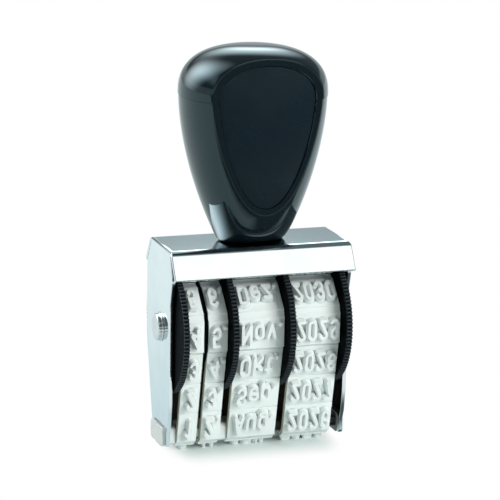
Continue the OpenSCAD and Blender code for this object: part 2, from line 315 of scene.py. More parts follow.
@dataclass
class Shell:
    """A mesh in the making: patches of a grid and flat caps, in millimetres."""

    points: list[Array] = field(default_factory=list)
    faces: list[Array] = field(default_factory=list)
    tags: list[Array] = field(default_factory=list)
    count: int = 0

    def patch(self, grid: Array, wrap_u: bool = False, wrap_v: bool = False,
              tag: Array | None = None) -> Array:
        """Add a grid of quads.

        Args:
            grid: points, rows by columns by three.
            wrap_u: join the last row to the first.
            wrap_v: join the last column to the first.
            tag: one value for each point, kept as the relief attribute.

        Returns:
            The index of each point, rows by columns.
        """
        rows, cols = grid.shape[:2]
        index = self.count + np.arange(rows * cols).reshape(rows, cols)
        a = np.vstack([index, index[:1]]) if wrap_u else index
        a = np.hstack([a, a[:, :1]]) if wrap_v else a
        self.faces.append(np.stack([a[:-1, :-1], a[1:, :-1], a[1:, 1:], a[:-1, 1:]], -1).reshape(-1, 4))
        self.points.append(grid.reshape(-1, 3))
        self.tags.append(np.zeros(rows * cols) if tag is None else tag.ravel())
        self.count += rows * cols
        return index

    def caps(self, *rings: Array) -> None:
        """Close holes with one flat face each, given the indices of the points round them."""
        self.faces += [ring.reshape(1, -1) for ring in rings]

    def object(self, name: str, sharp_deg: float = 35.0, tagged: bool = False) -> Object:
        """Turn the shell into an object at the origin, merged, facing outwards and smooth up to an angle.

        Args:
            name: the object's name.
            sharp_deg: edges that turn more than this stay sharp.
            tagged: keep the tags as a point attribute named relief.

        Returns:
            The new object.
        """
        sizes = np.concatenate([np.full(len(f), f.shape[1]) for f in self.faces])
        loops = np.concatenate([f.ravel() for f in self.faces])
        mesh = bpy.data.meshes.new(name)
        mesh.vertices.add(self.count)
        mesh.vertices.foreach_set("co", (np.concatenate(self.points) * MM).astype(np.float32).ravel())
        mesh.loops.add(len(loops))
        mesh.loops.foreach_set("vertex_index", loops.astype(np.int32))
        mesh.polygons.add(len(sizes))
        mesh.polygons.foreach_set("loop_start", (np.cumsum(sizes) - sizes).astype(np.int32))
        if tagged:
            mesh.attributes.new("relief", "FLOAT", "POINT").data.foreach_set(
                "value", np.concatenate(self.tags).astype(np.float32))
        mesh.update(calc_edges=True)
        clean(mesh)
        smooth(mesh, sharp_deg)
        return link(name, mesh)


def clean(mesh: Mesh, flat_deg: float = 0.0) -> None:
    """Merge doubles, drop slivers and turn the faces outwards.

    Args:
        mesh: the mesh, changed in place.
        flat_deg: faces that turn less than this become one, where it is over 0.
    """
    work = bmesh.new()
    work.from_mesh(mesh)
    bmesh.ops.remove_doubles(work, verts=work.verts, dist=MERGE_MM * MM)
    bmesh.ops.dissolve_degenerate(work, edges=work.edges, dist=MERGE_MM * MM / 2)
    if flat_deg > 0:
        bmesh.ops.dissolve_limit(work, angle_limit=math.radians(flat_deg), verts=work.verts, edges=work.edges)
    bmesh.ops.recalc_face_normals(work, faces=work.faces)
    work.to_mesh(mesh)
    work.free()


def smooth(mesh: Mesh, sharp_deg: float) -> None:
    """Shade a mesh smooth, with its edges sharp above an angle in degrees."""
    mesh.shade_smooth()
    mesh.set_sharp_from_angle(angle=math.radians(sharp_deg))


def link(name: str, data: ID) -> Object:
    """Put a mesh, a lamp or a camera in the scene as an object at the origin.

    Args:
        name: the object's name.
        data: the mesh, lamp or camera.

    Returns:
        The new object.
    """
    obj = bpy.data.objects.new(name, data)
    bpy.context.scene.collection.objects.link(obj)
    return obj


def dress(mesh: Mesh, material: Material) -> None:
    """Give a mesh one material in place of all that it has."""
    mesh.materials.clear()
    mesh.materials.append(material)


def place(obj: Object, body: str, material: Material, node: str) -> None:
    """Give a piece its material and body, and hide the CAD node that it stands for.

    Args:
        obj: the piece.
        body: the CAD body that it rides on.
        material: its Blender material.
        node: the CAD node that it replaces.
    """
    dress(obj.data, material)
    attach(obj, body)
    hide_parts(node)
    LOG.info("%s: %d faces on %s", obj.name, len(obj.data.polygons), body)


def keep_cad(material: Material, *nodes: str) -> None:
    """Give CAD nodes that stay in view a material.

    Args:
        material: their Blender material.
        nodes: names of the nodes.
    """
    for node in nodes:
        dress(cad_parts[node].data, material)
        LOG.info("%s: CAD node kept", node)


@dataclass(frozen=True)
class Sizes:
    """Sizes of the stamp in millimetres, as in the part's source."""

    half_w: float = 18.0
    top_z: float = 40.6
    axle_z: float = 24.4
    axle_r: float = 1.5
    head_r: float = 2.6
    washer_r: float = 2.85
    washer_t: float = 0.3
    head_t: float = 0.7
    tail_l: float = 0.4
    fit_gap: float = 0.05


SIZES = Sizes()


def turned(x: Array, r: Array, a: Array) -> Array:
    """Surface of revolution about the axle: columns of places x and radii r carried round the angles a."""
    return np.stack([x + 0 * a, r * np.cos(a), SIZES.axle_z + r * np.sin(a)], -1)


@dataclass
class CadCopy:
    """A piece that keeps its CAD shape, with softened edges."""

    node: str
    slot: str
    finish: Finish
    edge_mm: float
    flat_deg: float = 0.4
    sharp_deg: float = 30.0
    segments: int = 2
    flatness: int = 80

    def build(self) -> Object:
        """Merge a copy of the CAD mesh, join its flat faces and round its edges with live modifiers.

        Returns:
            The new object.
        """
        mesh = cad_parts[self.node].data.copy()
        mesh.name = self.node + "_finished"
        clean(mesh, self.flat_deg)
        smooth(mesh, self.sharp_deg)
        obj = link(self.node + "_finished", mesh)
        edges = obj.modifiers.new("edge_round", "BEVEL")
        edges.width = self.edge_mm * MM
        edges.segments = self.segments
        edges.limit_method = "ANGLE"
        edges.angle_limit = math.radians(self.sharp_deg)
        edges.use_clamp_overlap = False
        even = obj.modifiers.new("flat_faces", "WEIGHTED_NORMAL")
        even.mode = "FACE_AREA"
        even.weight = self.flatness
        even.keep_sharp = True
        return obj

    def dress(self, obj: Object) -> None:
        """Give the piece its finish."""
        place(obj, FRAME_BODY, self.finish.material(), self.node)


@dataclass
class SheetHousing(CadCopy):
    """Folded housing of plated sheet."""

    node: str = "housing"
    slot: str = "plated_steel"
    finish: Finish = Finishes.PLATED
    edge_mm: float = 0.1


@dataclass
class Bridge(CadCopy):
    """Moulded bridge under the belts."""

    node: str = "platen_bridge"
    slot: str = "bridge_plastic"
    finish: Finish = Finishes.ACETAL
    edge_mm: float = 0.12


@dataclass
class AxleHardware:
    """Axle with its head, washers, cap and spacer rings."""

    sizes: Sizes = SIZES
    crown: float = 0.22
    edge: float = 0.12
    flat_share: float = 0.5
    flat_drop: float = 0.01
    crown_drop: float = 0.03
    turns: int = 96

    def turn(self, name: str, *profile: Array, ring: bool = False) -> Object:
        """Turn a piece about the axle.

        Args:
            name: the piece's name.
            profile: runs of x and radius, one after the other.
            ring: join the end of the profile to its start.

        Returns:
            The new object.
        """
        line = np.vstack(profile)
        shell = Shell()
        a = np.linspace(0.0, 2 * np.pi, self.turns, endpoint=False)
        shell.patch(turned(line[:, :1], line[:, 1:], a), wrap_u=ring, wrap_v=True)
        return shell.object(name)

    def head(self, face: float, inward: float) -> Array:
        """Profile of a head: flat middle, then a crowned edge down to the washer.

        Args:
            face: X of the outer face.
            inward: +1 or -1, the way from the face to the plate.

        Returns:
            Pairs of x and radius, from the middle outwards and back to the axle.
        """
        s = self.sizes
        a = np.linspace(0.0, np.pi / 2, 9)
        edge = s.head_r - self.crown + self.crown * np.sin(a)
        fall = self.crown_drop + self.crown * (1 - np.cos(a))
        r = np.concatenate([[0.0, s.head_r * self.flat_share], edge, [s.head_r]])
        depth = np.concatenate([[0.0, self.flat_drop], fall, [s.head_t]])
        return np.column_stack([face + inward * depth, r])

    def axle(self) -> Object:
        """Turn the axle: crowned head on the left, plain rod to the right.

        Returns:
            The new object.
        """
        s = self.sizes
        face = -s.half_w - s.washer_t - s.head_t
        end = s.half_w + s.washer_t + s.tail_l
        rod = np.array([[face + s.head_t, s.axle_r], [end, s.axle_r], [end, 0.0]])
        return self.turn("axle_turned", self.head(face, 1.0), rod)

    def cap(self) -> Object:
        """Turn the cap on the right end, with the hole that takes the axle.

        Returns:
            The new object.
        """
        s = self.sizes
        seat = s.half_w + s.washer_t
        hole = s.axle_r + s.fit_gap
        bottom = seat + s.tail_l + s.fit_gap
        inside = np.array([[seat, hole], [bottom, hole], [bottom, 0.0]])
        return self.turn("axle_cap_turned", self.head(seat + s.head_t, -1.0), inside)

    def washer(self, name: str, x0: float) -> Object:
        """Turn a washer with rounded edges.

        Args:
            name: the piece's name.
            x0: X of its left face.

        Returns:
            The new object.
        """
        s, e = self.sizes, self.edge
        hole = s.axle_r + s.fit_gap
        a = np.linspace(0.0, np.pi, 9)
        rim = np.column_stack([x0 + s.washer_t / 2 * (1 - np.cos(a)), s.washer_r - e + e * np.sin(a)])
        return self.turn(name, [[x0, hole]], rim, [[x0 + s.washer_t, hole]], ring=True)

    def build(self) -> None:
        """Make and dress every piece on the axle."""
        s = self.sizes
        plate = Finishes.AXLE.material()
        for node, obj in (
                ("axle", self.axle()), ("axle_cap", self.cap()),
                ("axle_washer_left", self.washer("washer_left_turned", -s.half_w - s.washer_t)),
                ("axle_washer_right", self.washer("washer_right_turned", s.half_w))):
            place(obj, FRAME_BODY, plate, node)
        keep_cad(plate, "spacer_left", "spacer_right")


@dataclass
class ThumbWheel:
    """Thumbwheel: serrated rim, drum and plain flange, turned about the axle.

    Depths are taken inwards from the rim: the teeth end at root_d, the sides take painted shade from dull_d
    on.
    """

    node: str
    rim_x: float
    flange_x: float
    rim_r: float = 13.0
    rim_w: float = 1.1
    band_d: float = 1.1
    root_d: float = 0.55
    fade_d: float = 0.3
    dull_d: float = 0.5
    wear_power: int = 9
    tooth_n: int = 110
    tooth_t: float = 0.4
    tooth_steps: int = 10
    flange_r: float = 9.3
    flange_w: float = 0.3
    drum_r: float = 7.8
    bore_r: float = 1.56
    edge: float = 0.16

    def profile(self) -> tuple[Array, Array]:
        """Section of the wheel as a closed line, and how far the teeth cut at each point.

        Returns:
            Pairs of place along the rim side and radius, and weights from 0 to 1.
        """
        e, root, band = self.edge, self.rim_r - self.root_d, self.rim_r - self.band_d
        last_w = self.flange_w if self.flange_x > self.rim_x else self.rim_w
        length = abs(self.flange_x - self.rim_x) + last_w
        a = np.linspace(0.0, np.pi / 2, 5)
        first = np.column_stack([e * (1 - np.cos(a)), self.rim_r - e + e * np.sin(a)])
        rim = np.vstack([first, np.column_stack([self.rim_w - first[::-1, 0], first[::-1, 1]])])
        lip, b = self.flange_w / 2, 2 * a
        flange = np.column_stack([length - lip - lip * np.cos(b), self.flange_r - lip + lip * np.sin(b)])
        outline = np.vstack([
            [[0.0, self.bore_r], [0.0, band], [0.0, root]], rim,
            [[self.rim_w, root], [self.rim_w, band], [self.rim_w, self.drum_r],
             [length - self.flange_w, self.drum_r]], flange, [[length, self.bore_r]]])
        return outline, np.clip((outline[:, 1] - root) / self.fade_d, 0.0, 1.0)

    def build(self) -> Object:
        """Turn the section; the rim's radius drops by tooth_t times 1 - |cos| of each tooth's phase.

        Returns:
            The new object.
        """
        outline, weight = self.profile()
        along, r = outline[:, :1], outline[:, 1:]
        turns = self.tooth_n * self.tooth_steps
        a = np.arange(turns) * 2 * np.pi / turns
        cut = self.tooth_t * (1 - np.abs(np.cos(a * self.tooth_n / 2)))
        x = self.rim_x + along if self.flange_x > self.rim_x else self.rim_x + self.rim_w - along
        # Painted highlight: a paler colour on the tooth crests, narrowed by the power
        crest = (weight[:, None] * (1 - cut / self.tooth_t)) ** self.wear_power
        shell = Shell()
        # Points on the sides, tag -1, get painted shade; the rest carry the crests' painted highlight
        shell.patch(turned(x, r - weight[:, None] * cut, a), wrap_u=True, wrap_v=True,
                    tag=np.where(r < self.rim_r - self.dull_d, -1.0, crest))
        return shell.object(self.node + "_serrated", sharp_deg=50.0, tagged=True)

    def dress(self, obj: Object, material: Material) -> None:
        """Give the wheel its plastic and let it turn with its own body."""
        place(obj, self.node, material, self.node)


def arc(cx: float, cy: float, rx: float, ry: float, a0: float, a1: float, steps: int = 14) -> Array:
    """Points along part of an ellipse, angles in degrees."""
    a = np.radians(np.linspace(a0, a1, steps))
    return np.column_stack([cx + rx * np.cos(a), cy + ry * np.sin(a)])


def line(*points: Pair) -> Array:
    """A run of straight strokes through the points."""
    return np.array(points, float)


def joined(*runs: Array) -> Array:
    """One stroke through several runs of points."""
    return np.vstack(runs)


@dataclass(frozen=True)
class Lettering:
    """Narrow even-stroke characters, drawn as the middle lines of their strokes."""

    cap_h: float = 3.5
    x_h: float = 2.5
    tail: float = 0.85
    stroke: float = 0.58
    gap: float = 0.44
    digit_w: float = 1.24
    letter_w: float = 1.4
    dot: float = 0.12
    bowl_h: float = 0.95

    def ring(self, w: float, h: float) -> Array:
        """A closed loop with straight sides and round ends, w wide and h high."""
        r = w / 2
        return joined(arc(r, h - r, r, r, 0, 180), arc(r, r, r, r, 180, 360), line((w, h - r)))

    def digit(self, char: str) -> tuple[float, list[Array]]:
        """Strokes of a digit.

        Args:
            char: the digit.

        Returns:
            Its width and its strokes.
        """
        w, h, low = self.digit_w, self.cap_h, self.bowl_h
        r, up = w / 2, h / 2 - low / 2 - 0.39
        six = joined(arc(r, h - r, r, r, 15, 180), arc(r, low, r, low, 180, 540, 28))
        strokes = {
            "0": [self.ring(w, h)],
            "1": [line((0.1 * w, h - 0.85), (0.62 * w, h), (0.62 * w, 0))],
            "2": [joined(arc(r, h - r, r, r, 175, -22), line((0, 0), (w, 0)))],
            "3": [joined(arc(r, h - up, 0.94 * r, up, 160, -88), arc(r, low, r, low, 88, -160))],
            "4": [line((0.86 * w, h), (-0.08 * w, 0.31 * h), (1.08 * w, 0.31 * h)),
                  line((0.86 * w, h), (0.86 * w, 0))],
            "5": [joined(line((0.94 * w, h), (0.1 * w, h), (0.04 * w, 0.5 * h)),
                         arc(r, low, r, low, 122, -160))],
            "6": [six],
            "7": [line((0, h), (w, h), (0.28 * w, 0))],
            "8": [arc(r, h - up, 0.9 * r, up, 0, 360, 24),
                  arc(r, h / 2 - up / 2 - 0.06, r, 0.9, 0, 360, 24)],
            "9": [np.array([w, h]) - six],
        }
        return w, strokes[char]

    def letter(self, char: str) -> tuple[float, list[Array]]:
        """Strokes of a letter or a full stop.

        Args:
            char: the character.

        Returns:
            Its width and its strokes.
        """
        h, x, dot = self.cap_h, self.x_h, self.dot
        w = {"M": 1.9, "N": 1.6, "O": 1.6, "D": 1.5, "r": 0.85, "t": 0.95, "l": 0.3, "i": 0.05, ".": dot,
             "J": 1.1, "F": 1.2}.get(char, self.letter_w)
        r, d, hook = w / 2, 0.7, 0.45
        bowl = self.ring(w, x)
        stop = line((0, 0), (dot, 0), (dot, dot), (0, dot), (0, 0))
        small_a = [joined(arc(r, x - r, r, r, 155, 0), line((w, 0))), arc(r, 0.3 * x, r, 0.3 * x, 0, 360, 24)]
        strokes = {
            "A": [line((0, 0), (r, h), (w, 0)), line((0.2 * w, 0.28 * h), (0.8 * w, 0.28 * h))],
            "D": [joined(line((0, 0), (0, h), (w - d, h)), arc(w - d, h - d, d, d, 90, 0),
                         arc(w - d, d, d, d, 0, -90), line((0, 0)))],
            "F": [line((w, h), (0, h), (0, 0)), line((0, 0.53 * h), (0.8 * w, 0.53 * h))],
            "J": [joined(line((w, h)), arc(r, r, r, r, 0, -170))],
            "M": [line((0, 0), (0, h), (r, 0.35 * h), (w, h), (w, 0))],
            "N": [line((0, 0), (0, h), (w, 0), (w, h))],
            "O": [self.ring(w, h)],
            "S": [joined(arc(r, h - 0.82, r, 0.82, 15, 265), arc(r, 0.87, r, 0.87, 85, -165))],
            "a": small_a,
            "b": [line((0, h), (0, r)), bowl],
            "e": [joined(line((0, 0.5 * x), (w, 0.5 * x)), arc(r, x - r, r, r, 0, 180),
                         arc(r, r, r, r, 180, 325))],
            "g": [bowl, joined(line((w, x), (w, r - self.tail)), arc(r, r - self.tail, r, r, 0, -160))],
            "i": [line((0, 0), (0, x)), stop + np.array([-dot / 2, h - 0.1])],
            "k": [line((0, 0), (0, h)), line((w, x), (0, 0.36 * x)), line((0.36 * w, 0.58 * x), (w, 0))],
            "l": [line((0, h), (0, w), (w, 0))],
            "n": [line((0, 0), (0, x)), joined(arc(r, x - r, r, r, 180, 0), line((w, 0)))],
            "o": [bowl],
            "p": [line((0, x), (0, -self.tail)), bowl],
            "r": [line((0, 0), (0, x)), arc(w, x - 0.75, w, 0.75, 180, 85)],
            "t": [joined(line((0.35, 0.94 * h)), arc(0.35 + hook, hook, hook, hook, 180, 285)),
                  line((0, x), (w, x))],
            "u": [joined(line((0, x)), arc(r, r, r, r, 180, 360)), line((w, x), (w, 0))],
            "v": [line((0, x), (r, 0), (w, x))],
            "z": [line((0, x), (w, x), (0, 0), (w, 0))],
            "ä": small_a + [stop + np.array([share * w, h - 0.2]) for share in (0.2, 0.7)],
            ".": [stop],
        }
        return w, strokes[char]

    def word(self, text: str, room: float) -> tuple[Array, Array]:
        """Lay out a word about the middle of its row.

        Args:
            text: digits, letters and full stops.
            room: greatest width of the word.

        Returns:
            Starts and ends of all straight stroke pieces, in x and height about the middle of the row.
        """
        glyphs = [self.digit(c) if c.isdigit() else self.letter(c) for c in text]
        bare = sum(w for w, _ in glyphs)
        fixed = self.stroke * len(glyphs) + self.gap * (len(glyphs) - 1)
        squeeze = min(1.0, (room - fixed) / bare)
        x = -(bare * squeeze + fixed) / 2 + self.stroke / 2
        starts, ends = [], []
        for width, strokes in glyphs:
            for stroke in strokes:
                placed = stroke * [squeeze, 1.0] + [x, -self.cap_h / 2]
                starts.append(placed[:-1])
                ends.append(placed[1:])
            x += width * squeeze + self.stroke + self.gap
        return np.concatenate(starts), np.concatenate(ends)


def stroke_distance(points: Array, starts: Array, ends: Array) -> tuple[Array, Array]:
    """Distance of each point from the nearest stroke piece, and the direction away from it.

    Args:
        points: n points in the plane.
        starts: m starts of straight pieces.
        ends: m ends of straight pieces.

    Returns:
        n distances and n unit vectors.
    """
    along = ends - starts
    length2 = np.maximum((along ** 2).sum(1), 1e-12)
    rel = points[:, None, :] - starts[None]
    share = np.clip((rel * along).sum(2) / length2, 0.0, 1.0)
    off = rel - share[..., None] * along
    dist = np.sqrt((off ** 2).sum(2))
    near = dist.argmin(1)
    rows = np.arange(len(points))
    best = dist[rows, near]
    return best, off[rows, near] / np.maximum(best, 1e-9)[:, None]


@dataclass(frozen=True)
class BeltPath:
    """The way of a belt: round the drum, down both sides and under the bridge."""

    axle_z: float = SIZES.axle_z
    drum_r: float = 7.86
    belt_t: float = 0.5
    pad_t: float = 0.7
    type_t: float = 1.15
    flat_y: float = 2.4
    bend_r: float = 1.2
    rows_n: int = 12

    @property
    def path_r(self) -> float:
        """Radius of the middle of the belt on the drum."""
        return self.drum_r + self.belt_t / 2

    @property
    def path_z(self) -> float:
        """Height of the middle of the belt under the bridge."""
        return self.type_t + self.pad_t + self.belt_t / 2

    @property
    def rise(self) -> float:
        """Height of the axle above the middle of a bend."""
        return self.axle_z - self.path_z - self.bend_r

    @property
    def run_a(self) -> float:
        """Angle of a straight run's outward normal from straight up, in radians."""
        lean = math.asin((self.path_r - self.bend_r) / math.hypot(self.flat_y, self.rise))
        return math.atan2(self.rise, self.flat_y) + lean

    @property
    def ends(self) -> Triple:
        """Distances along the belt from its bottom middle.

        Returns:
            Where the straight run starts, where it ends, and the top.
        """
        run = math.sqrt(self.flat_y ** 2 + self.rise ** 2 - (self.path_r - self.bend_r) ** 2)
        start = self.flat_y + self.bend_r * (math.pi - self.run_a)
        return start, start + run, start + run + self.path_r * self.run_a

    @property
    def pitch(self) -> float:
        """Distance from row to row."""
        return 2 * self.ends[2] / self.rows_n

    def at(self, s: Array) -> tuple[Array, Array]:
        """Middle of the belt and outward normal at distances s from the bottom middle, up the front.

        Args:
            s: signed distances; the front of the stamp is positive.

        Returns:
            Points and unit normals as (y, z).
        """
        start, stop, half = self.ends
        s = (s + half) % (2 * half) - half
        side, d = np.where(s < 0, -1.0, 1.0), np.abs(s)
        down, lean = 1.5 * math.pi, math.pi / 2 + self.run_a
        spans = [d < self.flat_y, d < start, d < stop]
        angle = np.select(spans, [down, down - (d - self.flat_y) / self.bend_r, lean],
                          lean - (d - stop) / self.path_r)
        n = np.stack([np.cos(angle), np.sin(angle)], -1)
        corner = np.array([-self.flat_y, self.path_z + self.bend_r]) + self.bend_r * n
        bottom = np.stack([-d, np.full_like(d, self.path_z)], -1)
        straight = corner + (d - start)[:, None] * np.stack([n[:, 1], -n[:, 0]], -1)
        drum = np.array([0.0, self.axle_z]) + self.path_r * n
        p = np.select([span[:, None] for span in spans], [bottom, corner, straight], drum)
        flip = np.stack([side, np.ones_like(side)], -1)
        return p * flip, n * flip


@dataclass
class DateBelt:
    """Printing belt: a rubber loop with a flat pad for each row and raised type on the pads."""

    node: str
    x0: float
    width: float
    labels: Sequence[str]
    path: BeltPath = BeltPath()
    letters: Lettering = Lettering()
    cell: float = 0.1
    snap: float = 0.55
    pad_gap: float = 0.3
    edge: float = 0.07
    draft: float = 0.3
    margin: float = 0.5
    groove: float = 0.24
    # Reach of the blur that spreads painted shade from the type into the hollows
    dust: float = 0.6
    shut_from: float = 0.2
    shut_span: float = 0.35

    def row_steps(self) -> tuple[Array, Array, Array]:
        """Steps along one row: place about its middle, whether on the pad, drop of the pad's rounded edge.

        Returns:
            Places, flags of 0 or 1 and drops.
        """
        pitch = self.path.pitch
        half = (pitch - self.pad_gap) / 2
        inner = half - self.edge
        n = int(round(2 * inner / self.cell))
        top = np.linspace(-inner, inner, n + 1)
        t = np.concatenate([[-pitch / 2, -half, -half], top, [half, half]])
        on = np.concatenate([[0.0, 0.0, 1.0], np.ones(n + 1), [1.0, 0.0]])
        drop = np.concatenate([[0.0, 0.0, self.edge], np.zeros(n + 1), [self.edge, 0.0]])
        return t, on, drop

    def raise_type(self, t: Array, x: Array, text: str) -> tuple[Array, Array, Array]:
        """Height of the type over one pad; grid points near an outline are drawn onto it.

        The face of the type is where the distance to a stroke is under half its width. Beyond it the flank
        falls over the draft to the pad.

        Args:
            t: places along the belt, a grid of the pad's points.
            x: places across the belt, about its middle.
            text: what the row says.

        Returns:
            The moved places along and across, and the share of the full height.
        """
        if not text:
            return t, x, np.zeros_like(t)
        starts, ends = self.letters.word(text, self.width - self.margin)
        points = np.column_stack([x.ravel(), -t.ravel()])
        dist, away = stroke_distance(points, starts, ends)
        over = dist - self.letters.stroke / 2
        for level in (0.0, self.draft):
            near = np.abs(over - level) < self.snap * self.cell
            points[near] += (level - over[near])[:, None] * away[near]
            over[near] = level
        share = np.clip(1.0 - over / self.draft, 0.0, 1.0)
        return -points[:, 1].reshape(t.shape), points[:, 0].reshape(t.shape), share.reshape(t.shape)

    def enclosed(self, share: Array) -> Array:
        """How far type shuts in each point of the ground, which sets how much painted shade it gets.

        The share of height, blurred along and across the belt, counts from shut_from on and in full a
        shut_span above that.

        Args:
            share: share of the full height, a grid of the pad's points.

        Returns:
            Values from 0 in the open to 1 between strokes, and 0 on the type.
        """
        reach = int(round(2 * self.dust / self.cell))
        kernel = np.hanning(2 * reach + 1)
        kernel /= kernel.sum()
        blurred = share
        for axis in (0, 1):
            blurred = np.apply_along_axis(np.convolve, axis, blurred, kernel, mode="same")
        return np.clip((blurred - self.shut_from) / self.shut_span, 0.0, 1.0) * (1 - share)

    def row(self, k: int) -> tuple[Array, Array]:
        """Points of one row round the belt's section: outside from left to right, then the two inner corners.

        Args:
            k: the row's number, 0 under the bridge and rising up the front.

        Returns:
            Points, steps by columns by three, and their relief tags.
        """
        p = self.path
        steps, on, drop = self.row_steps()
        half = self.width / 2
        n = int(round((self.width - 2 * self.edge) / self.cell))
        across = np.concatenate([[-half], np.linspace(-half + self.edge, half - self.edge, n + 1), [half]])
        t, x = np.meshgrid(steps, across, indexing="ij")
        share = np.zeros_like(t)
        first, last = np.flatnonzero((on > 0) & (drop == 0))[[0, -1]]
        pad = (slice(first, last + 1), slice(1, -1))
        t[pad], x[pad], share[pad] = self.raise_type(t[pad], x[pad], self.labels[k])
        sink = np.maximum(drop[:, None], np.where(np.abs(x) > half - 1e-6, self.edge, 0.0))
        (centre, beyond), (normal, _) = p.at(k * p.pitch + np.array([0.0, self.cell]))
        ahead = np.array([normal[1], -normal[0]])
        ahead *= np.sign(ahead @ (beyond - centre))
        top = p.belt_t / 2 + p.pad_t - np.where(on[:, None] > 0, sink, self.groove) + p.type_t * share
        outer = np.concatenate([x[..., None], centre + top[..., None] * normal + t[..., None] * ahead], -1)
        base, base_n = p.at(k * p.pitch + steps)
        inner = base - p.belt_t / 2 * base_n
        back = np.stack([np.column_stack([np.full(len(steps), side), inner]) for side in (half, -half)], 1)
        points = np.concatenate([outer, back], 1)
        points[..., 0] += self.x0 + half
        # The back of the loop keeps the tag -1, which paints it dark as shade
        tags = np.full(points.shape[:2], -1.0)
        tags[:, :-2] = GROUND_TAG + (1 - GROUND_TAG) * share
        # Hollows shut in by type get painted shade: their tag is lowered towards 0
        tags[:, :-2][pad] -= GROUND_TAG * self.enclosed(share[pad])
        return points, tags

    def build(self) -> Object:
        """Join the rows into one loop; the groove's floor between two pads is the mean of its sides.

        Returns:
            The new object.
        """
        rows = [self.row(k) for k in range(self.path.rows_n)]
        for (points, _), (before, _) in zip(rows, rows[-1:] + rows[:-1]):
            points[0, :-2] = (points[1, :-2] + before[-1, :-2]) / 2
        points, tags = (np.concatenate(part) for part in zip(*rows))
        shell = Shell()
        shell.patch(points, wrap_u=True, wrap_v=True, tag=tags)
        return shell.object(self.node + "_moulded", sharp_deg=32.0, tagged=True)

    def dress(self, obj: Object, material: Material) -> None:
        """Give the belt its rubber."""
        place(obj, FRAME_BODY, material, self.node)


class GripPart(Enum):
    """The two mouldings of the grip, below and above the seam."""

    BODY = "handle_body"
    CAP = "handle_cap"


